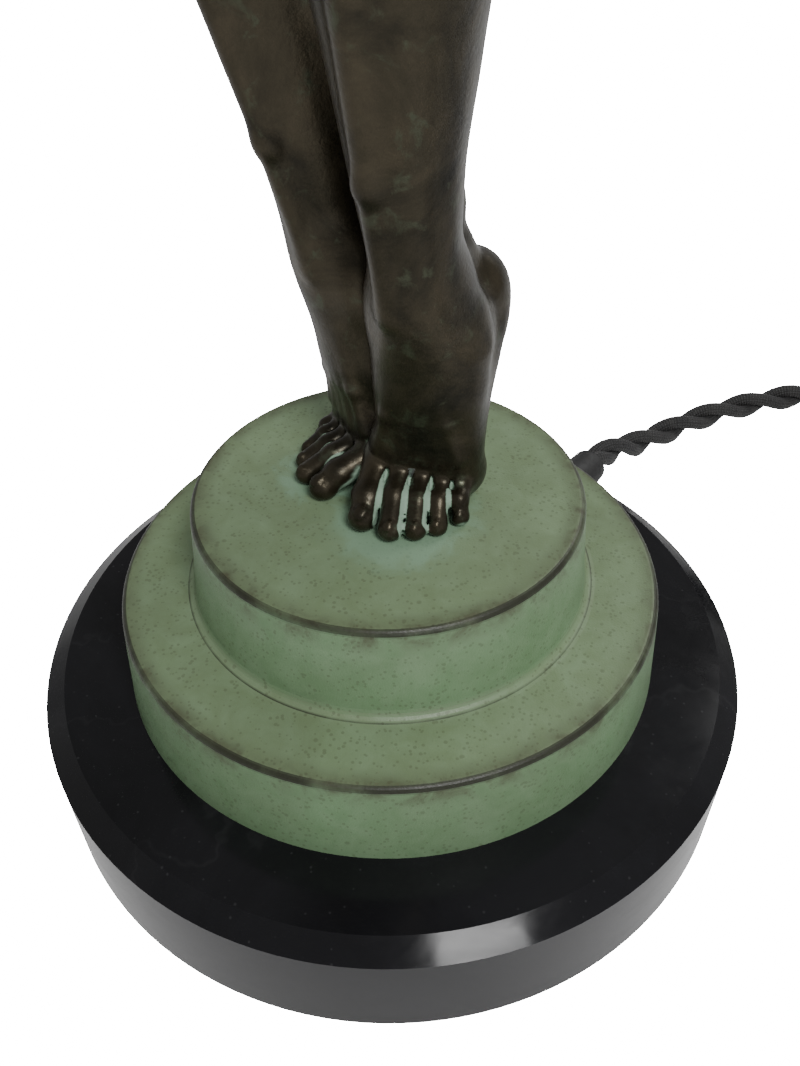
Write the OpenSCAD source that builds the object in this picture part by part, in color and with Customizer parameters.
// Figural uplight table lamp: a draped figure on tiptoe lifts a torch with a flared glass shade.
// Frame: origin on the table under the middle of the plinth, +Z up, the figure faces -Y, the lead leaves at +Y.

/* [Base] */
// Diameter of the stone plinth
plinth_d = 150; // [135:1:190]
// Thickness of the stone plinth
plinth_h = 25; // [22:0.5:40]
// Width of the plinth's top bevel
bevel_w = 4.3; // [1:0.1:8]
// Drop of the plinth's top bevel
bevel_h = 2.9; // [1:0.1:6]
// Thickness of the felt pad
felt_t = 1.5; // [1:0.1:3]
// Top diameter of the lower tier
tier1_d = 110.5; // [104:0.5:125]
// Height of the lower tier
tier1_h = 19; // [15:0.5:30]
// Top diameter of the upper tier
tier2_d = 77; // [68:0.5:88]
// Height of the upper tier
tier2_h = 20.2; // [15:0.1:30]
// How much wider each tier is at its foot, on the radius
tier_draft = 1.4; // [0.5:0.1:3]
// Wall of the hollow tier casting
cast_wall = 4; // [3:0.1:6]
// Diameter of the base bolts
bolt_d = 6; // [5:0.5:8]

/* [Figure] */
// Standing height of the figure, flat on its feet
figure_h = 420; // [350:1:500]
// Wall of the skirt and bodice casting
figure_wall = 3; // [2.5:0.1:4]
// Number of pleats in the skirt
pleats = 18; // [10:1:24]
// Bore of the wire way through the left leg and arm
wire_way_d = 5; // [4.4:0.1:5.6]

/* [Torch and shade] */
// Diameter of the torch stem where it is held
torch_d = 24; // [20:0.5:32]
// Inside diameter of the shade holder
holder_d = 57.5; // [54:0.5:70]
// Widest diameter of the glass shade
shade_d = 172; // [150:1:200]
// Height of the glass shade
shade_h = 92; // [75:1:120]
// Thickness of the glass
glass_t = 3; // [2.5:0.1:5]
// Diameter of the lamp bulb
bulb_d = 45; // [38:1:50]
// Outside diameter of the threaded tube
tube_d = 10; // [8:0.5:12]

/* [Lead] */
// Diameter of the twisted lead over both cores
cord_d = 8; // [6:0.1:8.4]
// Height of the lead's hole in the plinth, above the felt
outlet_z = 10; // [9:0.5:14]
// Diameter of the lead's hole in the plinth
outlet_d = 13; // [12:0.5:15]
// Length of the sleeve outside the plinth
sleeve_l = 21; // [20:1:40]
// Length of the switch on the lead
switch_l = 66; // [58:1:80]
// Width of the switch
switch_w = 28; // [24:0.5:36]
// Travel of the rocker between off and on, in degrees
rocker_turn = 16; // [10:1:24]
// Diameter of the coil at the middle of its turns
coil_d = 88; // [80:1:96]
// Pitch of the plug pins
pin_pitch = 19; // [17:0.5:22]
// Diameter of a plug pin
pin_d = 4.8; // [4:0.1:5]
// Length of a plug pin
pin_l = 19; // [15:0.5:22]

/* [Hidden] */

$fn = 96;
fit = 0.15;            // clearance between pieces that are pushed together
gap = 0.3;             // clearance between a moving piece and its neighbours
rim_r = 1.4;           // rounding of the casting's rims
tier_fillet = 2.5;     // fillet where the upper tier stands on the lower

plinth_r = plinth_d / 2;
plinth_top = felt_t + plinth_h;
tier1_r = tier1_d / 2;
tier2_r = tier2_d / 2;
tier1_top = plinth_top + tier1_h;
deck_z = tier1_top + tier2_h;

// Base fixings
bolt_pitch_r = tier1_r - cast_wall - bolt_d * 1.35;
bolt_angles = [30, 150, 270];
bolt_head_r = bolt_d * 0.83;
bolt_head_h = bolt_d * 0.5;
washer_t = 1.2;
washer_r = bolt_d * 1.1;
bolt_seat = felt_t + bolt_head_h + washer_t + 2;
boss_r = bolt_d * 0.95;
boss_h = 11;
chamber_r = 29;        // wiring chamber under the plinth
chamber_h = 17;
riser_r = 8;           // hole that brings the wires up from the chamber

// Figure landmarks: x, y and height above the deck, all as shares of the standing height
ball_l = [0.012, 0.004, 0];
ball_r = [-0.027, 0.017, 0];
toes_l = -70;          // direction that each foot points in
toes_r = -124;
ankle_up = 0.089;
ankle_l = [ball_l.x + 0.001, ball_l.y - 0.002, ankle_up];
ankle_r = [ball_r.x - 0.001, ball_r.y - 0.002, ankle_up];
knee_l = [0.030, -0.046, 0.314];
knee_r = [-0.048, -0.034, 0.312];
hip_l = [0.034, 0.016, 0.55];
hip_r = [-0.056, 0.020, 0.55];
pelvis = [-0.011, 0.020, 0.55];
waist = [-0.008, 0.012, 0.655];
chest = [-0.003, 0.004, 0.760];
neck = [0, 0.010, 0.850];
skull = [0, -0.002, 0.968];
shoulder_w = 0.084;
shoulder_l = [shoulder_w, 0.010, 0.838];
elbow_l = [0.140, -0.016, 0.992];
grip_up = 1.145;
leg_top = 0.515;       // where the legs' casting ends inside the skirt
hem_up = 0.400;        // hem of the skirt
collar_up = 0.868;     // where the head's casting starts

H = figure_h;
function at(p) = [p.x * H, p.y * H, deck_z + p.z * H];
function mid(a, b, t) = a + (b - a) * t;
function aim(a) = [cos(a), sin(a), 0];

// Torch and lamp stack, upwards from the hands
torch_r = torch_d / 2;
stem_z = deck_z + (grip_up - 0.098) * H;
stem_h = 0.186 * H;
stem_top = stem_z + stem_h;
stem_bore_r = 3.5;
holder_r = holder_d / 2;
holder_t = 1.2;
holder_h = 21;
holder_rise = 7;       // height of the holder's curved floor
holder_foot_r = 15;
ring_h = 4;
ring_r = torch_r + 5;
holder_z = stem_top + ring_h;
holder_floor = holder_z + holder_t;
tube_r = tube_d / 2;
tube_in = 16;          // how far the tube screws into the stem
nut_h = 3.5;
tube_z = stem_top - tube_in;
tube_h = tube_in + ring_h + holder_t + nut_h + 5;
cap_z = holder_floor + nut_h + fit;
cap_r = 14;
cap_h = 13;
cap_wall = 1.6;
shell_h = 24;
shell_z = cap_z + cap_h;
core_z = cap_z + 6.5;
thread_r = 6.7;        // small Edison screw
bulb_r = bulb_d / 2;
bulb_z = shell_z + 3;
bulb_cap_h = 21;
bulb_neck_r = 8;
globe_z = bulb_z + bulb_cap_h + 11 + sqrt(bulb_r * bulb_r - bulb_neck_r * bulb_neck_r);
bulb_wall = 0.9;
lip_z = holder_z + holder_rise + holder_t + 0.3;
neck_r = holder_r - holder_t - 1;
neck_h = 20;
shade_r = shade_d / 2;
screw_z = lip_z + 7;
screw_r = 1.5;
screw_angles = [90, 210, 330];
knob_r = 4;
knob_h = 8;

// Lead
cord_r = cord_d / 2;
outlet = felt_t + outlet_z;
sleeve_tip = plinth_r + sleeve_l;
// Free lead behind the plinth: x, distance from the sleeve's tip, and how far it still hangs (1 to 0)
hang = [[0, 0, 1], [0, 4, 1], [0.4, 9, 0.86], [1.2, 15, 0.62], [2.2, 21, 0.36], [3.6, 27, 0.16],
        [5.4, 33, 0.04], [7.8, 40, 0], [11, 48, 0], [15, 56, 0], [19.5, 64, 0], [25, 72, 0],
        [31, 80, 0], [37, 87, 0], [42, 92.5, 0]];
// Turn from the switch to the coil, as steps from the switch's far end
swing = [[14, 10.5], [22, 14], [30, 15], [38, 13.5], [45, 9.5], [50.5, 4], [55, -2.5], [59.5, -9], [64, -15],
         [68.5, -21], [72, -27], [73.5, -34]];
switch_turn = 40;      // direction of the switch, from +X towards +Y
switch_h = 19;
switch_wall = 2;
switch_at = [50, sleeve_tip + 102, 0];
switch_out = switch_at + aim(switch_turn) * switch_l;
switch_mid = (switch_at + switch_out) / 2;
rocker_r = 10.5;
rocker_w = 11;
rocker_z = 12.5;
coil_from_switch = [30, -70, 0];
coil_at = switch_out + coil_from_switch;
coil_r = coil_d / 2;
coil_h = cord_d * 1.87;
coil_half = 3 * cord_r;
// Tail from the coil to the plug: steps from the coil's middle, and height
tail = [[28.5, -46.5, 11.5], [24.6, -53.5, 9.6], [21.2, -60.8, 7.6], [18.8, -68.4, 6.9], [17.4, -76.2, 8.2],
        [17.1, -84.2, 11.2], [17.8, -92.2, 15], [19.3, -100, 17], [20.9, -105.8, 17]];
plug_turn = -75;
plug_r = 17;
plug_l = 34;
cover_l = 24;
plug_at = [coil_at.x + 20.9, coil_at.y - 105.8, plug_r];
pin_root_r = pin_d / 2 - 0.4;
pin_neck = 0.3;        // how far a pin's root stands out of the plug before its full width
pin_tip = 1;

// ---------------------------------------------------------------- shapes
function arc(c, r, a, b, n = 6) = [for (i = [0:n]) c + r * [cos(a + (b - a) * i / n), sin(a + (b - a) * i / n)]];

// A closed skin through level rings; each station is [centre, half width, half depth, turn]
module loft(st, n = 24) {
    ring = [for (s = st, i = [0:n - 1])
        let (t = 360 * i / n, x = s[1] * cos(t), y = s[2] * sin(t), a = s[3])
        s[0] + [x * cos(a) - y * sin(a), x * sin(a) + y * cos(a), 0]];
    last = len(st) - 1;
    sides = [for (k = [0:last - 1], i = [0:n - 1], half = [0, 1])
        let (a = k * n + i, b = k * n + (i + 1) % n)
        half == 0 ? [a, a + n, b + n] : [a, b + n, b]];
    polyhedron(ring, concat(sides, [[for (i = [0:n - 1]) i]], [[for (i = [0:n - 1]) last * n + n - 1 - i]]));
}

// A round tube swept along a list of points; no stretch of it runs along ref
module sweep(pts, r, n = 8, ref = [0, 0, 1]) {
    last = len(pts) - 1;
    ring = [for (k = [0:last])
        let (d = pts[min(k + 1, last)] - pts[max(k - 1, 0)], f = d / norm(d),
             u = cross(ref, f) / norm(cross(ref, f)), v = cross(f, u))
        for (i = [0:n - 1]) pts[k] + r * (cos(360 * i / n) * u + sin(360 * i / n) * v)];
    sides = [for (k = [0:last - 1], i = [0:n - 1], half = [0, 1])
        let (a = k * n + i, b = k * n + (i + 1) % n)
        half == 0 ? [a, b + n, b] : [a, a + n, b + n]];
    polyhedron(ring, concat(sides, [[for (i = [0:n - 1]) i]], [[for (i = [0:n - 1]) last * n + n - 1 - i]]));
}

// Stations along a bone from a to b; each row is [share of the way, half width, half depth, shift back]
function bone(a, b, rows, turn = 0) =
    [for (r = rows) [at(mid(a, b, r[0]) + [0, r[3], 0]), r[1] * H, r[2] * H, turn]];

function smooth(pts, step) = [for (k = [0:len(pts) - 2], i = [0:step - 1])
    let (p0 = pts[max(k - 1, 0)], p1 = pts[k], p2 = pts[k + 1], p3 = pts[min(k + 2, len(pts) - 1)], t = i / step)
    0.5 * (2 * p1 + (p2 - p0) * t + (2 * p0 - 5 * p1 + 4 * p2 - p3) * t * t
           + (3 * p1 - p0 - 3 * p2 + p3) * t * t * t)];

module along(p, turn) { translate(p) rotate([0, 0, turn]) children(); }

// ---------------------------------------------------------------- base
module felt_pad() {
    color("darkgreen") cylinder(r = plinth_r - 5, h = felt_t);
}

module plinth() {
    color([0.05, 0.05, 0.05]) difference() {
        rotate_extrude() polygon([[0, felt_t], [plinth_r, felt_t], [plinth_r, plinth_top - bevel_h],
                                  [plinth_r - bevel_w, plinth_top], [0, plinth_top]]);
        translate([0, 0, felt_t - 1]) cylinder(r = chamber_r, h = chamber_h + 1);
        cylinder(r = riser_r, h = plinth_top + 1);
        translate([0, chamber_r - 4, outlet]) rotate([-90, 0, 0]) cylinder(d = outlet_d, h = plinth_r);
        for (a = bolt_angles) rotate(a) translate([bolt_pitch_r, 0, 0]) {
            cylinder(r = bolt_d / 2 + 0.3, h = plinth_top + 1);
            cylinder(r = washer_r + 0.4, h = bolt_seat);
        }
    }
}

function tier_outline() = concat(
    [[0, plinth_top], [tier1_r + tier_draft, plinth_top]],
    arc([tier1_r - rim_r, tier1_top - rim_r], rim_r, 0, 90),
    arc([tier2_r + tier_draft + tier_fillet, tier1_top + tier_fillet], tier_fillet, 270, 180),
    arc([tier2_r - rim_r, deck_z - rim_r], rim_r, 0, 90),
    [[0, deck_z]]);

module tier_casting() {
    inner1 = tier1_r - cast_wall;
    inner2 = tier2_r - cast_wall;
    color([0.42, 0.55, 0.42]) difference() {
        rotate_extrude() polygon(tier_outline());
        difference() {
            union() {
                translate([0, 0, plinth_top - 1]) cylinder(r = inner1, h = tier1_h + 1 - cast_wall);
                translate([0, 0, plinth_top]) cylinder(r = inner2, h = tier1_h + tier2_h - cast_wall);
            }
            for (a = bolt_angles) rotate(a) translate([bolt_pitch_r, 0, plinth_top - 2])
                cylinder(r = boss_r, h = tier1_h + 2);
        }
        for (a = bolt_angles) rotate(a) translate([bolt_pitch_r, 0, plinth_top - 1])
            cylinder(r = bolt_d / 2 + 0.05, h = boss_h + 1);
        foot_stud_places() cylinder(r = $stud_r + 0.05, h = 2 * cast_wall + 2, center = true);
    }
}

module base_bolts() {
    color("silver") for (a = bolt_angles) rotate(a) translate([bolt_pitch_r, 0, 0]) {
        translate([0, 0, bolt_seat - washer_t - bolt_head_h]) difference() {
            cylinder(r = bolt_head_r, h = bolt_head_h);
            translate([0, 0, -1]) cylinder(r = bolt_d * 0.4, h = bolt_head_h * 0.6 + 1, $fn = 6);
        }
        translate([0, 0, bolt_seat - washer_t])
            cylinder(d = bolt_d, h = washer_t + plinth_top - bolt_seat + boss_h - 2);
    }
}

module base_washers() {
    color("silver") for (a = bolt_angles) rotate(a) translate([bolt_pitch_r, 0, bolt_seat - washer_t])
        difference() {
            cylinder(r = washer_r, h = washer_t);
            translate([0, 0, -1]) cylinder(r = bolt_d / 2 + 0.3, h = washer_t + 2);
        }
}

// ---------------------------------------------------------------- foot studs
stud_l_r = 4;          // the left stud is a tube that also carries the wires
stud_r_r = 2.5;
stud_up = 9;
stud_down = 8;
module stud_place(p, r) { $stud_r = r; translate([p.x * H, p.y * H, deck_z]) children(); }
module foot_stud_places() {
    stud_place(ball_l, stud_l_r) children();
    stud_place(ball_r, stud_r_r) children();
}

module left_foot_stud() {
    color("silver") stud_place(ball_l, stud_l_r) translate([0, 0, -cast_wall - stud_down]) difference() {
        cylinder(r = stud_l_r, h = stud_up + cast_wall + stud_down);
        translate([0, 0, -1]) cylinder(d = wire_way_d, h = stud_up + cast_wall + stud_down + 2);
    }
}

module right_foot_stud() {
    color("silver") stud_place(ball_r, stud_r_r) translate([0, 0, -cast_wall - stud_down])
        cylinder(r = stud_r_r, h = stud_up + cast_wall + stud_down);
}

module foot_nuts() {
    color("silver") foot_stud_places() translate([0, 0, -cast_wall - 4.2]) difference() {
        cylinder(r = $stud_r * 1.75, h = 4, $fn = 6);
        translate([0, 0, -1]) cylinder(r = $stud_r + 0.05, h = 6);
    }
}

// ---------------------------------------------------------------- figure
shank_rows = [[-0.06, 0.021, 0.024, 0.001], [0.05, 0.0185, 0.0225, 0.001], [0.14, 0.0178, 0.0225, 0.002],
              [0.28, 0.021, 0.026, 0.005], [0.46, 0.027, 0.032, 0.009], [0.62, 0.031, 0.0345, 0.010],
              [0.78, 0.030, 0.032, 0.007], [0.92, 0.029, 0.030, 0.002], [1, 0.0285, 0.031, -0.001]];
thigh_rows = [[0.08, 0.030, 0.032, -0.002], [0.2, 0.033, 0.034, -0.003], [0.4, 0.038, 0.039, -0.003],
              [0.6, 0.043, 0.044, -0.003], [0.85, 0.047, 0.049, -0.001]];

module leg(ankle, knee, hip, turn) {
    top = mid(knee, hip, (leg_top - knee.z) / (hip.z - knee.z));
    stations = concat(bone(ankle, knee, shank_rows, turn), bone(knee, hip, thigh_rows, turn),
                      [[at(top), 0.047 * H, 0.050 * H, turn]]);
    intersection() {
        loft(stations);
        translate([0, 0, deck_z + leg_top * H / 2]) cube([H, H, leg_top * H], center = true);
    }
}

// A foot on tiptoe: the heel hangs behind the ankle, and side is -1 where the big toe is on the right
module foot(ball, turn, side) {
    toe_r = [0.0105, 0.0085, 0.008, 0.0075, 0.007] * H;
    toe_y = [-0.0165, -0.0035, 0.006, 0.0145, 0.022] * H * side;
    toe_x = [0.037, 0.039, 0.035, 0.029, 0.021] * H;
    along([ball.x * H, ball.y * H, deck_z], turn) {
        intersection() {
            union() {
                for (i = [0:4]) hull() {
                    translate([toe_x[i] - toe_r[i], toe_y[i], toe_r[i] * 0.7]) sphere(r = toe_r[i], $fn = 12);
                    translate([toe_r[i] * 0.3, toe_y[i] * 0.9, toe_r[i] * 1.3]) sphere(r = toe_r[i] * 1.2, $fn = 12);
                }
                hull() {
                    translate([-0.003 * H, -0.014 * H * side, 0.012 * H]) sphere(r = 0.013 * H, $fn = 16);
                    translate([-0.001 * H, 0.016 * H * side, 0.010 * H]) sphere(r = 0.011 * H, $fn = 16);
                    translate([0.003 * H, 0, 0.070 * H]) scale([1, 0.85, 1.1]) sphere(r = 0.018 * H, $fn = 16);
                }
                hull() {
                    translate([-0.010 * H, 0, 0.040 * H]) scale([1, 0.9, 1]) sphere(r = 0.016 * H, $fn = 16);
                    translate([-0.040 * H, 0, 0.101 * H]) sphere(r = 0.0155 * H, $fn = 16);
                    translate([0, 0, 0.092 * H]) sphere(r = 0.0185 * H, $fn = 16);
                }
                hull() {
                    translate([-0.038 * H, 0, 0.108 * H]) sphere(r = 0.0135 * H, $fn = 16);
                    translate([-0.008 * H, 0, 0.135 * H]) sphere(r = 0.012 * H, $fn = 16);
                }
            }
            translate([-H / 2, -H / 2, 0]) cube(H);
        }
    }
}

function wire_path_leg() = [
    at([ball_l.x, ball_l.y, 0.018]), at([ball_l.x, ball_l.y - 0.001, 0.05]), at(ankle_l),
    at(mid(ankle_l, knee_l, 0.5) + [0, 0.006, 0]), at(knee_l), at(mid(knee_l, hip_l, 0.5)),
    at(mid(knee_l, hip_l, 0.9))];

module legs_casting() {
    color([0.24, 0.2, 0.15]) difference() {
        union() {
            leg(ankle_l, knee_l, hip_l, toes_l + 90);
            leg(ankle_r, knee_r, hip_r, toes_r + 90);
            foot(ball_l, toes_l, 1);
            foot(ball_r, toes_r, -1);
        }
        sweep(concat([at([ball_l.x, ball_l.y, -0.01])], smooth(wire_path_leg(), 3), [at(hip_l)]),
              wire_way_d / 2, 10, [0, 1, 0]);
        foot_stud_places() cylinder(r = $stud_r + 0.1, h = 2 * stud_up + 1, center = true, $fn = 24);
        dowel_holes();
    }
}

// Pleated skirt: level rings whose radius ripples more towards the hem
function skirt_ring(c, rx, ry, deep, n) = [for (i = [0:n - 1])
    let (t = 360 * i / n, k = 1 + deep * cos(pleats * t))
    c + [rx * k * cos(t), ry * k * sin(t), 0]];

function middle(ring) = [for (p = ring) 1] * ring / len(ring);

module rings_skin(rings, n) {
    last = len(rings) - 1;
    base = (last + 1) * n;
    sides = [for (k = [0:last - 1], i = [0:n - 1], half = [0, 1])
        let (a = k * n + i, b = k * n + (i + 1) % n)
        half == 0 ? [a, a + n, b + n] : [a, b + n, b]];
    caps = [for (i = [0:n - 1], end = [0, 1])
        let (a = end * last * n + i, b = end * last * n + (i + 1) % n)
        end == 0 ? [a, b, base] : [b, a, base + 1]];
    polyhedron(concat([for (r = rings, p = r) p], [middle(rings[0]), middle(rings[last])]), concat(sides, caps));
}

module skirt(inset, first = 0) {
    n = pleats * 6;
    rings = [for (t = [first:0.2:1.01])
        let (c = mid([pelvis.x, pelvis.y - 0.018, hem_up], waist, t), w = 1 - t)
        skirt_ring(at(c), H * (0.072 + 0.075 * w - 0.022 * w * w) - inset,
                   H * (0.054 + 0.056 * w - 0.012 * w * w) - inset, 0.030 * w, n)];
    rings_skin(rings, n);
}

torso_rows = [[-0.06, 0.066, 0.049, 0], [0, 0.068, 0.050, 0], [0.2, 0.070, 0.052, 0], [0.45, 0.078, 0.060, 0.002],
              [0.62, 0.083, 0.066, 0.006], [0.8, 0.085, 0.064, 0.003], [0.95, 0.085, 0.056, 0]];

module torso_skin(inset) {
    rows = bone(waist, chest, torso_rows);
    top = [[at(mid(chest, neck, 0.4)), 0.090 * H, 0.050 * H, 0], [at(mid(chest, neck, 0.7)), 0.088 * H, 0.044 * H, 0],
           [at(mid(chest, neck, 0.86)), 0.068 * H, 0.036 * H, 0], [at(neck), 0.036 * H, 0.031 * H, 0]];
    loft([for (s = concat(rows, top)) [s[0] + [0, 0, inset > 0 && s[0].z > at(neck).z - 1 ? -inset : 0],
                                       s[1] - inset, s[2] - inset, s[3]]], 32);
}

dowel_r = 1.5;
dowel_l = 14;

// Local frame at a shoulder seam, with +Z along the upper arm; side is 1 on the figure's left
seam_at = mid(shoulder_l, elbow_l, 0.12);
module seam(side) {
    d = elbow_l - shoulder_l;
    mirror([side < 0 ? 1 : 0, 0, 0]) translate(at(seam_at))
        rotate([0, 0, atan2(d.y, d.x)]) rotate([0, acos(d.z / norm(d)), 0]) children();
}

module dowel_places() {
    for (s = [-1, 1]) {
        seam(s) translate([0, 0.017 * H, 0]) children();
        translate([(s > 0 ? hip_l.x : hip_r.x) * H + s * 0.018 * H, 0.034 * H, deck_z + leg_top * H]) children();
    }
    translate([0, (neck.y + 0.018) * H, deck_z + collar_up * H]) children();
}
module dowel_holes() { dowel_places() cylinder(r = dowel_r + 0.1, h = dowel_l + 1, center = true, $fn = 16); }

module body_casting() {
    color([0.3, 0.3, 0.2]) difference() {
        union() {
            skirt(0);
            torso_skin(0);
            loft([[at(neck - [0, 0, 0.03]), 0.034 * H, 0.034 * H, 0],
                  [at([0, neck.y, collar_up]) - [0, 0, fit], 0.029 * H, 0.031 * H, 0]]);
            for (s = [-1, 1]) hull() {
                translate([s * shoulder_l.x * H * 0.80, shoulder_l.y * H, at(shoulder_l).z - 0.022 * H])
                    sphere(r = 0.034 * H, $fn = 20);
                translate([s * shoulder_l.x * H * 1.10, shoulder_l.y * H, at(shoulder_l).z + 0.006 * H])
                    sphere(r = 0.031 * H, $fn = 20);
            }
            for (s = [-1, 1]) {
                hull() {
                    translate(at([s * 0.040, -0.044, 0.752])) scale([1, 0.8, 1]) sphere(r = 0.032 * H, $fn = 24);
                    translate(at([s * 0.046, -0.012, 0.80])) sphere(r = 0.026 * H, $fn = 20);
                }
            }
        }
        intersection() {
            skirt(figure_wall, -0.3);
            translate([0, 0, deck_z + (leg_top - 0.25) * H + fit]) cube([H, H, 0.5 * H], center = true);
        }
        intersection() {
            union() {
                torso_skin(figure_wall);
                skirt(figure_wall + 1);
            }
            translate([-H / 2, -H / 2, deck_z + (leg_top + 0.012) * H]) cube([H, H, 0.35 * H]);
        }
        for (s = [-1, 1]) seam(s) translate([-0.06 * H, -0.06 * H, -fit]) cube([0.12 * H, 0.12 * H, 0.2 * H]);
        translate(at([mid(knee_l, hip_l, 0.9).x, mid(knee_l, hip_l, 0.9).y, leg_top - 0.01]))
            cylinder(r = wire_way_d / 2 + 1.5, h = 0.03 * H);
        seam(1) translate([0, 0, -0.085 * H]) cylinder(r = wire_way_d / 2 + 0.5, h = 0.1 * H, $fn = 32);
        dowel_holes();
    }
}

wrist_x = (torch_r + 0.016 * H) / H;
wrist = [wrist_x + 0.001, -0.002, grip_up - 0.050];
palm = [wrist_x - 0.001, -0.002, grip_up - 0.012];
function wire_path_arm() = [
    at([0.035, 0.010, 0.730]), at(mid(shoulder_l, elbow_l, -0.4)), at(shoulder_l), at(mid(shoulder_l, elbow_l, 0.35)),
    at(mid(shoulder_l, elbow_l, 0.7)), at(elbow_l - [0.003, 0, 0.003]), at(mid(elbow_l, wrist, 0.3)),
    at(mid(elbow_l, wrist, 0.7)), at([wrist_x + 0.002, 0, grip_up - 0.034]), at([wrist_x - 0.004, 0, grip_up - 0.010]),
    at([wrist_x - 0.015, 0, grip_up])];

module head_casting() {
    base = [0, neck.y, collar_up];
    color([0.3, 0.26, 0.18]) difference() {
        union() {
            loft([[at(base), 0.029 * H, 0.031 * H, 0], [at([0, 0.008, 0.895]), 0.028 * H, 0.031 * H, 0],
                  [at([0, 0.006, 0.93]), 0.030 * H, 0.036 * H, 0]]);
            translate(at(skull + [0, 0.006, 0.008])) scale([0.9, 1.06, 1]) sphere(r = 0.053 * H, $fn = 32);
            hull() {
                translate(at(skull + [0, -0.022, -0.008])) sphere(r = 0.036 * H, $fn = 24);
                translate(at(skull + [0, -0.034, -0.052])) sphere(r = 0.013 * H, $fn = 16);
            }
            hull() {
                translate(at(skull + [0, -0.057, -0.004])) sphere(r = 0.004 * H, $fn = 12);
                translate(at(skull + [0, -0.064, -0.018])) sphere(r = 0.006 * H, $fn = 12);
            }
            for (s = [-1, 1]) {
                hull() {
                    translate(at(skull + [s * 0.037, 0.004, 0.004])) sphere(r = 0.019 * H, $fn = 16);
                    translate(at(skull + [s * 0.034, -0.002, -0.034])) sphere(r = 0.014 * H, $fn = 16);
                    translate(at(skull + [s * 0.026, 0.030, -0.034])) sphere(r = 0.018 * H, $fn = 16);
                }
                hull() {
                    translate(at(skull + [s * 0.012, -0.049, -0.034])) sphere(r = 0.004 * H, $fn = 12);
                    translate(at(skull + [0, -0.051, -0.034])) sphere(r = 0.005 * H, $fn = 12);
                }
            }
            for (a = [0:45:315]) hull() {
                translate(at(skull + [0.047 * cos(a), 0.055 * sin(a) + 0.005, 0.022])) sphere(r = 0.006 * H, $fn = 10);
                translate(at(skull + [0.047 * cos(a + 45), 0.055 * sin(a + 45) + 0.005, 0.022])) sphere(r = 0.006 * H, $fn = 10);
            }
        }
        dowel_holes();
    }
}

upper_rows = [[-0.14, 0.026, 0.030, 0], [0.06, 0.031, 0.034, 0], [0.25, 0.029, 0.032, 0], [0.5, 0.0255, 0.028, 0],
              [0.8, 0.0225, 0.0235, 0], [0.98, 0.0225, 0.0215, 0.002]];
fore_rows = [[0.12, 0.0235, 0.0225, 0.001], [0.32, 0.0235, 0.0220, 0], [0.6, 0.0190, 0.0185, 0], [0.88, 0.0145, 0.0165, 0],
             [1, 0.0130, 0.0180, 0]];

// The left arm, above its shoulder seam; the right arm is its mirror image
module arm(wired) {
    difference() {
        intersection() {
            union() {
                loft(concat(bone(shoulder_l, elbow_l, upper_rows), bone(elbow_l, wrist, fore_rows)), 20);
                hull() {
                    translate(at(shoulder_l + [0.010, -0.004, 0.010])) sphere(r = 0.033 * H, $fn = 20);
                    translate(at(mid(shoulder_l, elbow_l, 0.24))) sphere(r = 0.029 * H, $fn = 20);
                }
                hull() {
                    translate(at(wrist)) scale([0.75, 1, 1]) sphere(r = 0.0175 * H, $fn = 16);
                    translate(at(palm)) scale([0.55, 1.25, 1]) sphere(r = 0.019 * H, $fn = 16);
                }
                for (k = [-1.5:1:1.5]) finger(k);
                hull() {
                    translate(at(palm + [-0.002, -0.020, -0.018])) sphere(r = 0.0085 * H, $fn = 12);
                    translate(at(palm + [-0.008, -0.032, 0.010])) sphere(r = 0.0062 * H, $fn = 12);
                }
            }
            seam(1) translate([-H / 2, -H / 2, 0]) cube(H);
        }
        cylinder(r = torch_r + fit, h = 4 * H, $fn = 64);
        if (wired) sweep(concat(smooth(wire_path_arm(), 3), [at([0, 0, grip_up])]), wire_way_d / 2, 10, [0, 1, 0]);
        dowel_holes();
    }
}

module finger(k) {
    root = palm + [0.001, k * 0.0105, 0.012];
    bend = root + [0.004, k * 0.0040, 0.030];
    tip = bend + [0.008, k * 0.0035, 0.024 - abs(k) * 0.003];
    hull() {
        translate(at(root)) sphere(r = 0.0075 * H, $fn = 12);
        translate(at(bend)) sphere(r = 0.0062 * H, $fn = 12);
    }
    hull() {
        translate(at(bend)) sphere(r = 0.0062 * H, $fn = 12);
        translate(at(tip)) sphere(r = 0.0052 * H, $fn = 12);
    }
}

module left_arm_casting() { color([0.24, 0.2, 0.15]) arm(true); }
module right_arm_casting() { color([0.24, 0.2, 0.15]) mirror([1, 0, 0]) arm(false); }

module casting_dowels() {
    color("silver") dowel_places() cylinder(r = dowel_r, h = dowel_l, center = true);
}

// ---------------------------------------------------------------- torch and lamp
module torch_stem() {
    ball = 0.012 * H;
    flare = 0.052 * H;
    rib = 2;
    profile = concat(
        arc([0, stem_z + ball], ball, -90, 60, 8),
        [[ball * 0.6, stem_z + 2.1 * ball], [torch_r * 0.62, stem_z + flare * 0.72], [torch_r, stem_z + flare]],
        arc([torch_r, stem_top - 9], rib, -90, 90),
        [[torch_r, stem_top - 6.5], [torch_r + rib, stem_top - 3], [torch_r + rib, stem_top], [0, stem_top]]);
    color([0.3, 0.27, 0.18]) difference() {
        rotate_extrude() polygon(profile);
        translate([0, 0, at([0, 0, grip_up]).z - 5]) cylinder(r = stem_bore_r, h = stem_top);
        translate([0, 0, tube_z]) cylinder(r = tube_r + 0.05, h = stem_top);
        translate(at([0, 0, grip_up])) rotate([0, 90, 0]) cylinder(d = wire_way_d, h = torch_r + rib);
    }
}

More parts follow.
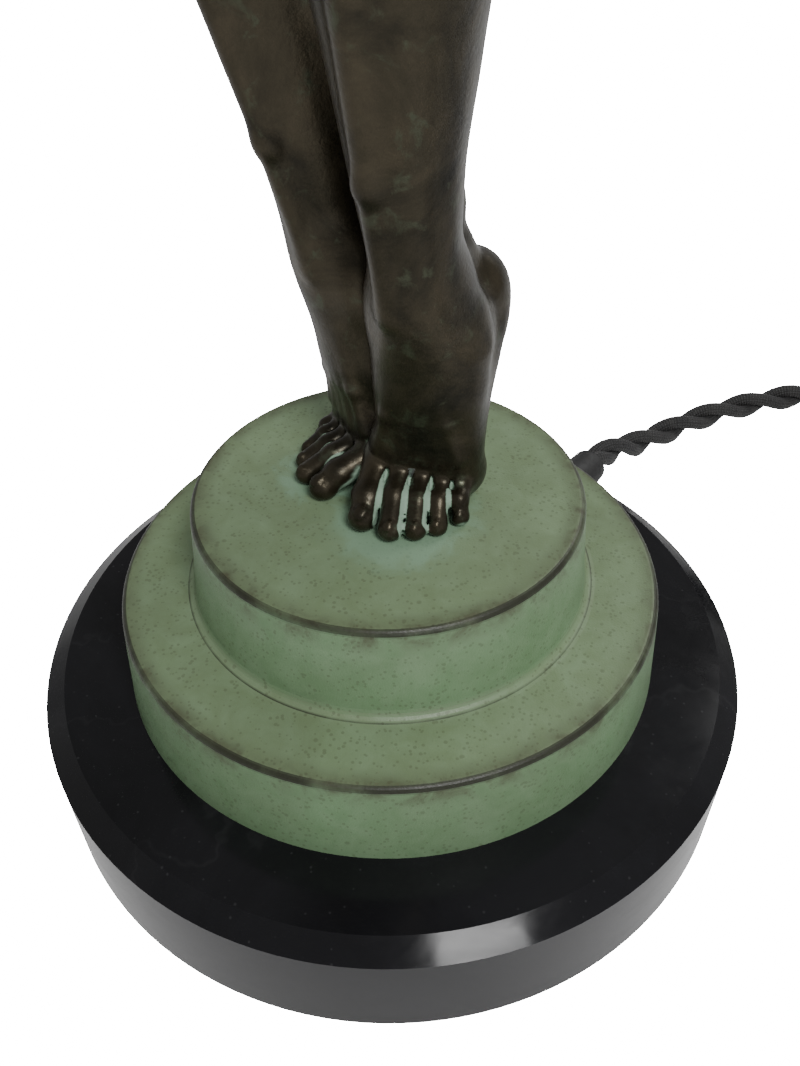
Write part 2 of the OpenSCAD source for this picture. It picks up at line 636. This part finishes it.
module torch_ring() {
    color([0.42, 0.55, 0.42]) translate([0, 0, stem_top]) difference() {
        rotate_extrude() polygon(concat([[0, 0]], arc([ring_r - ring_h / 2, ring_h / 2], ring_h / 2, -90, 90), [[0, ring_h]]));
        translate([0, 0, -1]) cylinder(r = tube_r + 0.1, h = ring_h + 2);
    }
}

module threaded_tube() {
    color("gold") translate([0, 0, tube_z]) difference() {
        cylinder(r = tube_r, h = tube_h);
        translate([0, 0, -1]) cylinder(r = tube_r - 1.5, h = tube_h + 2);
    }
}

module tube_nut() {
    color("gold") translate([0, 0, holder_floor]) difference() {
        cylinder(r = tube_r * 1.7, h = nut_h, $fn = 6);
        translate([0, 0, -1]) cylinder(r = tube_r + 0.05, h = nut_h + 2);
    }
}

module shade_holder() {
    wall = holder_r - holder_t;
    color([0.3, 0.27, 0.18]) difference() {
        rotate_extrude() polygon(concat(
            [[0, holder_z], [holder_foot_r, holder_z]],
            arc([holder_foot_r, holder_z + holder_rise], holder_rise, -90, -35),
            [[holder_r, holder_z + holder_rise]],
            arc([holder_r, holder_z + holder_h - 1], 1, -90, 90),
            [[wall, holder_z + holder_h], [wall, holder_z + holder_rise + holder_t],
             [holder_foot_r + holder_rise * 0.75, holder_z + holder_rise * 0.43 + holder_t],
             [holder_foot_r, holder_floor], [0, holder_floor]]));
        translate([0, 0, holder_z - 1]) cylinder(r = tube_r + 0.1, h = holder_t + 2);
        for (a = screw_angles) rotate(a) translate([wall - 2, 0, screw_z]) rotate([0, 90, 0])
            cylinder(r = screw_r + 0.06, h = 6);
    }
}

module thumbscrew(a) {
    color("gold") rotate(a) translate([0, 0, screw_z]) rotate([0, 90, 0]) {
        translate([0, 0, neck_r + 0.25]) cylinder(r = screw_r, h = holder_r - neck_r + 3);
        translate([0, 0, holder_r + 3]) {
            cylinder(r = knob_r - 1, h = 1.5);
            translate([0, 0, 1.5]) cylinder(r = knob_r, h = knob_h - 1.5);
        }
    }
}
module thumbscrew_back() { thumbscrew(screw_angles[0]); }
module thumbscrew_right() { thumbscrew(screw_angles[1]); }
module thumbscrew_left() { thumbscrew(screw_angles[2]); }

module lampholder_cap() {
    color([0.1, 0.1, 0.1]) translate([0, 0, cap_z]) difference() {
        cylinder(r = cap_r, h = cap_h);
        translate([0, 0, 3]) cylinder(r = cap_r - cap_wall, h = cap_h);
        translate([0, 0, -1]) cylinder(r = tube_r + 0.05, h = 5);
    }
}

module lampholder_shell() {
    color([0.1, 0.1, 0.1]) translate([0, 0, shell_z + 0.1]) difference() {
        cylinder(r = cap_r - 1, h = shell_h);
        translate([0, 0, -1]) cylinder(r = cap_r - 1 - cap_wall, h = shell_h - 1);
        cylinder(r = bulb_neck_r + 0.6, h = shell_h + 1);
    }
}

module lampholder_core() {
    color("white") difference() {
        union() {
            translate([0, 0, core_z]) cylinder(r = cap_r - cap_wall - 0.2, h = shell_z - core_z - 0.2);
            translate([0, 0, core_z]) cylinder(r = cap_r - 3, h = shell_z - core_z + 1);
        }
        for (s = [-1, 1]) translate([s * 8, 0, core_z - 1]) cylinder(r = 1.4, h = shell_h);
    }
}

module screw_sleeve() {
    color("gold") translate([0, 0, shell_z + 1.1]) difference() {
        cylinder(r = thread_r + 0.6, h = 18);
        translate([0, 0, 0.5]) cylinder(r = thread_r + 0.1, h = 18);
        translate([0, 0, -1]) cylinder(r = 4, h = 4);
    }
}

module centre_contact() {
    color("gold") translate([0, 0, shell_z + 1.1]) cylinder(r = 3, h = 1.8);
}

module bulb_cap() {
    color("silver") translate([0, 0, bulb_z]) rotate_extrude() polygon(
        [[0, 0], [3, 0], [3, 1], [thread_r - 1, 3], [thread_r, 4], [thread_r, bulb_cap_h],
         [thread_r - 0.5, bulb_cap_h], [0, bulb_cap_h]]);
}

function globe(r, neck, base, top) = concat([[neck, base]],
    arc([0, globe_z], r, -acos(neck / r), 90, 20), [[0, top]]);

module bulb_envelope() {
    base = bulb_z + bulb_cap_h + 0.1;
    color([0.95, 0.95, 0.9]) difference() {
        rotate_extrude() polygon(concat([[0, base]], globe(bulb_r, bulb_neck_r, base, globe_z + bulb_r)));
        rotate_extrude() polygon(concat([[0, base - 1]],
            globe(bulb_r - bulb_wall, bulb_neck_r - bulb_wall, base - 1, globe_z)));
    }
}

module bulb_filament() {
    base = bulb_z + bulb_cap_h + 0.1;
    color("orange") {
        translate([0, 0, base]) cylinder(r1 = 4, r2 = 1.5, h = 14);
        translate([0, 0, base + 13]) cylinder(r = 1.2, h = globe_z - base - 9);
        for (a = [0:90:270]) rotate(a) translate([0.6, 0, globe_z - 9]) rotate([0, 20, 0]) cylinder(r = 0.9, h = 18);
    }
}

// Bowl of the shade: part of an ellipse that leaves the neck at bowl_start and ends upright at the lip
bowl_start = 18;
lip_r = 2.6;
bowl_a = (shade_r - lip_r - neck_r) / (1 - sin(bowl_start));
bowl_b = (shade_h - 6 - neck_h) / cos(bowl_start);
function bowl(inset) = [for (k = [0:12])
    let (f = bowl_start + (90 - bowl_start) * k / 12, out = [bowl_b * sin(f), -bowl_a * cos(f)])
    [neck_r + bowl_a * (sin(f) - sin(bowl_start)), lip_z + neck_h + bowl_b * (cos(bowl_start) - cos(f))]
        - inset * out / norm(out)];
function reversed(l) = [for (i = [len(l) - 1:-1:0]) l[i]];

module glass_shade() {
    color([0.93, 0.93, 0.88]) rotate_extrude() polygon(concat(
        [[neck_r, lip_z]], bowl(0),
        arc([shade_r - lip_r, lip_z + shade_h - lip_r], lip_r, -70, 170, 8),
        reversed(bowl(glass_t)),
        [[neck_r - glass_t, lip_z + neck_h - 1], [neck_r - glass_t, lip_z]]));
}

// ---------------------------------------------------------------- wiring inside
function lead_path() = concat(
    [[block_w / 2 - 6, block_y + block_d + 1.6, block_z + 5], [block_w / 2 - 6.3, block_y + block_d + 4, block_z + 7.4],
     [ball_l.x * H + 0.3, -1, block_z + 11], [ball_l.x * H, ball_l.y * H - 0.4, block_z + 15],
     [ball_l.x * H, ball_l.y * H, plinth_top + 5], [ball_l.x * H, ball_l.y * H, deck_z - 14]],
    smooth(concat([[ball_l.x * H, ball_l.y * H, deck_z]], wire_path_leg(),
                  [at([0.022, 0.014, 0.60]), at([0.016, 0.012, 0.67])], wire_path_arm(),
                  [at([0.012, 0, grip_up]), at([0.001, 0, grip_up + 0.010]), at([0, 0, grip_up + 0.045])]), 2),
    [[0, 0, tube_z + tube_in], [0, 0, core_z - 0.2]]);
module inner_lead() {
    color("black") sweep(lead_path(), 1.5, 8, [0, 1, 0]);
}

block_w = 24;
block_d = 12;
block_h = 9;
block_y = -20;
block_z = felt_t + chamber_h - block_h - 1;
module terminal_block() {
    color("ivory") difference() {
        translate([-block_w / 2, block_y, block_z]) cube([block_w, block_d, block_h]);
        block_screws() cylinder(r = 1.6, h = 5);
        translate([0, block_y + block_d / 2, block_z - 1]) cylinder(r = 1.6, h = block_h + 2);
    }
}
module block_screws() {
    for (x = [-7, 7], y = [3, 9]) translate([x, block_y + y, block_z - 0.4]) children();
}
module terminal_screws() {
    color("gold") block_screws() cylinder(r = 1.5, h = 4.5);
    color("gold") translate([0, block_y + block_d / 2, block_z - 2]) {
        cylinder(r = 2.8, h = 1.8);
        cylinder(r = 1.5, h = block_h + 2.8);
    }
}

clamp_y = 20;
clamp_z = felt_t + chamber_h - cord_d - 2.6;
module clamp_places() {
    for (s = [-1, 1]) translate([s * (cord_r + 5), clamp_y, clamp_z]) children();
}
module cord_clamp() {
    color("silver") difference() {
        translate([-cord_r - 8.5, clamp_y - 3.5, clamp_z]) cube([cord_d + 17, 7, 2.3]);
        clamp_places() translate([0, 0, -1]) cylinder(r = 1.6, h = 5);
    }
}
module clamp_screws() {
    color("silver") clamp_places() {
        translate([0, 0, -1.6]) cylinder(r = 2.8, h = 1.5);
        cylinder(r = 1.45, h = felt_t + chamber_h - clamp_z - 0.1);
        translate([0, 0, -0.5]) cylinder(r = 1.45, h = 1);
    }
}

module cord_tail() {
    up = felt_t + chamber_h - cord_r - 0.15;
    end = block_y + block_d;
    color("black") sweep([[0, sleeve_tip, outlet], [0, plinth_r - 10, outlet], [0, 46, outlet],
        [0, 38, mid(outlet, up, 0.4)], [0, 30, mid(outlet, up, 0.9)], [0, 24, up], [0, 16, up], [-1.2, 8, up], [-3.3, 1, up - 0.2],
        [-4.5, -4, block_z + 5], [-4.5, end, block_z + 5]], cord_r - 0.15);
}

module cord_sleeve() {
    inside = 24;
    color([0.08, 0.08, 0.08]) translate([0, plinth_r, outlet]) rotate([-90, 0, 0]) difference() {
        rotate_extrude() polygon([[0, -inside], [outlet_d / 2 - 0.1, -inside], [outlet_d / 2 - 0.1, 0.2],
            [outlet_d / 2 + 1.2, 0.2], [outlet_d / 2 + 1.2, 2], [outlet_d / 2 - 0.3, 2.6],
            [cord_r + 1, sleeve_l], [0, sleeve_l]]);
        translate([0, 0, -inside - 1]) cylinder(r = cord_r + 0.1, h = inside + sleeve_l + 2);
    }
}

// ---------------------------------------------------------------- free lead
module cord_run() {
    pts = concat([for (p = hang) [p.x, sleeve_tip + p.y, cord_r + (outlet - cord_r) * p.z]],
                 [for (t = [-6, 0]) switch_at + aim(switch_turn) * t + [0, 0, cord_r]]);
    color("black") sweep(pts, cord_r);
}

module cord_lead() {
    pts = concat([for (t = [0, 7]) switch_out + aim(switch_turn) * t + [0, 0, cord_r]],
                 [for (p = swing) switch_out + [p.x, p.y, cord_r]]);
    color("black") sweep(pts, cord_r);
}

module cord_coil() {
    top_half = coil_half - cord_r;
    color("black") translate(coil_at) rotate_extrude() polygon([
        [coil_r - coil_half + 1.5, 0], [coil_r + coil_half - 1.5, 0], [coil_r + coil_half, 2],
        [coil_r + coil_half, cord_d * 0.8], [coil_r + top_half, coil_h - 2], [coil_r + top_half - 2, coil_h],
        [coil_r - top_half + 2, coil_h], [coil_r - top_half, coil_h - 2],
        [coil_r - coil_half, cord_d * 0.8], [coil_r - coil_half, 2]]);
}

tie_angles = [70, 200, 320];
module coil_ties() {
    w = 7;
    t = 1;
    span = 2 * coil_half + 0.6;
    color("dimgray") for (a = tie_angles) translate(coil_at) rotate(a) translate([coil_r, -w / 2, 0]) {
        translate([-span / 2 - t, 0, coil_h + 0.1]) cube([span + 2 * t, w, t]);
        for (s = [-1, 1]) translate([s * (span + t) / 2 - t / 2, 0, 0]) cube([t, w, coil_h + 0.2]);
    }
}

module cord_end() {
    color("black") sweep([for (p = tail) [coil_at.x + p.x, coil_at.y + p.y, p.z]], cord_r);
}

// Slab with rounded upright edges, centred
module slab(l, w, h, r) {
    linear_extrude(h) {
        square([l - 2 * r, w], center = true);
        square([l, w - 2 * r], center = true);
        for (x = [-1, 1], y = [-1, 1]) translate([x * (l / 2 - r), y * (w / 2 - r)]) circle(r = r);
    }
}
module in_switch() { translate(switch_mid) rotate(switch_turn) children(); }
module switch_screw_places() {
    for (s = [-1, 1]) translate([s * (switch_l / 2 - 8), s * (switch_w / 2 - 6), 0]) children();
}
split_z = 9.3;

module switch_lower() {
    color([0.08, 0.08, 0.08]) in_switch() difference() {
        union() {
            difference() {
                slab(switch_l, switch_w, split_z, 6);
                translate([0, 0, switch_wall]) slab(switch_l - 2 * switch_wall, switch_w - 2 * switch_wall, split_z, 4);
            }
            switch_screw_places() cylinder(r = 3.4, h = split_z);
        }
        switch_screw_places() {
            translate([0, 0, -1]) cylinder(r = 1.6, h = split_z + 2);
            translate([0, 0, -1]) cylinder(r = 2.9, h = 3);
        }
        translate([-switch_l, 0, cord_r]) rotate([0, 90, 0]) cylinder(r = cord_r - 0.8, h = 2 * switch_l);
    }
}

module switch_upper() {
    top = switch_h - split_z - 0.1;
    ear = 3;
    ear_y = rocker_w / 2 + gap;
    color([0.08, 0.08, 0.08]) in_switch() translate([0, 0, split_z + 0.1]) difference() {
        union() {
            difference() {
                union() {
                    slab(switch_l, switch_w, top - 3, 6);
                    slab(switch_l - 4, switch_w - 4, top - 1, 5);
                    slab(switch_l - 9, switch_w - 9, top, 4);
                }
                translate([0, 0, -1]) slab(switch_l - 2 * switch_wall, switch_w - 2 * switch_wall, top - 2.5, 4);
                translate([0, 0, -1]) slab(switch_l - 13, switch_w - 11, top - switch_wall + 1, 3);
            }
            for (s = [-1, 1]) translate([-3, s > 0 ? ear_y : -ear_y - ear, rocker_z - split_z - 3]) cube([6, ear, top - rocker_z + split_z + 2]);
            switch_screw_places() cylinder(r = 3.4, h = top - 1.5);
        }
        translate([-rocker_r - gap, -rocker_w / 2 - gap, -1]) cube([2 * (rocker_r + gap), rocker_w + 2 * gap, top + 2]);
        translate([0, -ear_y - ear - 1, rocker_z - split_z - 0.1]) rotate([-90, 0, 0])
            cylinder(r = 1.55, h = 2 * (ear_y + ear + 1));
        switch_screw_places() translate([0, 0, -1]) cylinder(r = 1.52, h = top - 2);
    }
}

module switch_rocker() {
    high = switch_h - rocker_z;
    color([0.12, 0.12, 0.12]) in_switch() translate([0, 0, rocker_z]) rotate([0, -rocker_turn / 2, 0]) {
        rotate([90, 0, 0]) linear_extrude(rocker_w, center = true) intersection() {
            circle(r = rocker_r);
            polygon([[-12, -2.5], [12, -2.5], [12, high + 1.4], [0, high + 0.2], [-12, high + 1.4]]);
        }
        rotate([90, 0, 0]) cylinder(r = 1.5, h = rocker_w + 2 * gap + 4, center = true);
    }
}

module switch_contacts() {
    color("gold") in_switch() for (s = [-1, 1]) translate([s * 17, -s * 3, switch_wall + 0.05]) difference() {
        translate([-4, -3.5, 0]) cube([8, 7, 6]);
        translate([0, 0, 2]) cylinder(r = 1.5, h = 6);
    }
}

module switch_screws() {
    color("silver") in_switch() switch_screw_places() {
        translate([0, 0, 0.2]) cylinder(r = 2.7, h = 1.7);
        translate([0, 0, 1]) cylinder(r = 1.47, h = switch_h - 5);
    }
}

// The plug's own frame: +Z runs from the lead's entry to the tips of the pins
module in_plug() { translate(plug_at) rotate([0, 90, plug_turn]) children(); }
module pin_places() { for (s = [-1, 1]) translate([0, s * pin_pitch / 2, 0]) children(); }

module plug_cover() {
    color([0.08, 0.08, 0.08]) in_plug() difference() {
        rotate_extrude() polygon(concat([[0, 0], [cord_r + 2, 0], [cord_r + 3, 5]],
            arc([plug_r - 8, 14], 8, -70, 0), [[plug_r, cover_l], [0, cover_l]]));
        translate([0, 0, 9]) cylinder(r = plug_r - 5, h = 6);
        translate([0, 0, 14]) cylinder(r = plug_r - 2.2, h = cover_l);
        translate([0, 0, -1]) cylinder(r = cord_r - 1, h = cover_l);
    }
}

module plug_body() {
    color([0.08, 0.08, 0.08]) in_plug() difference() {
        union() {
            translate([0, 0, cover_l + 0.1]) cylinder(r = plug_r, h = plug_l - cover_l - 0.1);
            translate([0, 0, cover_l - 5]) cylinder(r = plug_r - 2.5, h = 6);
        }
        pin_places() translate([0, 0, cover_l - 6]) cylinder(r = pin_root_r + 0.05, h = plug_l);
        translate([0, 0, cover_l - 6]) cylinder(r = 1.6, h = plug_l);
        translate([0, 0, plug_l - 2.5]) cylinder(r = 3.2, h = 3);
    }
}

module plug_pins() {
    color("gold") in_plug() pin_places() {
        translate([0, 0, cover_l - 4]) cylinder(r = pin_root_r, h = plug_l - cover_l + 4 + pin_neck);
        translate([0, 0, plug_l + pin_neck]) cylinder(d = pin_d, h = pin_l - pin_neck - pin_tip);
        translate([0, 0, plug_l + pin_l - pin_tip]) cylinder(r1 = pin_d / 2, r2 = pin_d / 2 - 1, h = pin_tip);
    }
}

module plug_screw() {
    color("silver") in_plug() {
        translate([0, 0, plug_l - 2.4]) cylinder(r = 3, h = 1.6);
        translate([0, 0, cover_l - 7]) cylinder(r = 1.5, h = plug_l - cover_l + 6);
    }
}

felt_pad();
plinth();
tier_casting();
base_bolts();
base_washers();
left_foot_stud();
right_foot_stud();
foot_nuts();
legs_casting();
body_casting();
head_casting();
left_arm_casting();
right_arm_casting();
casting_dowels();
torch_stem();
torch_ring();
threaded_tube();
tube_nut();
shade_holder();
thumbscrew_back();
thumbscrew_right();
thumbscrew_left();
lampholder_cap();
lampholder_shell();
lampholder_core();
screw_sleeve();
centre_contact();
bulb_cap();
bulb_envelope();
bulb_filament();
glass_shade();
inner_lead();
terminal_block();
terminal_screws();
cord_clamp();
clamp_screws();
cord_tail();
cord_sleeve();
cord_run();
switch_lower();
switch_upper();
switch_rocker();
switch_contacts();
switch_screws();
cord_lead();
cord_coil();
coil_ties();
cord_end();
plug_cover();
plug_body();
plug_pins();
plug_screw();
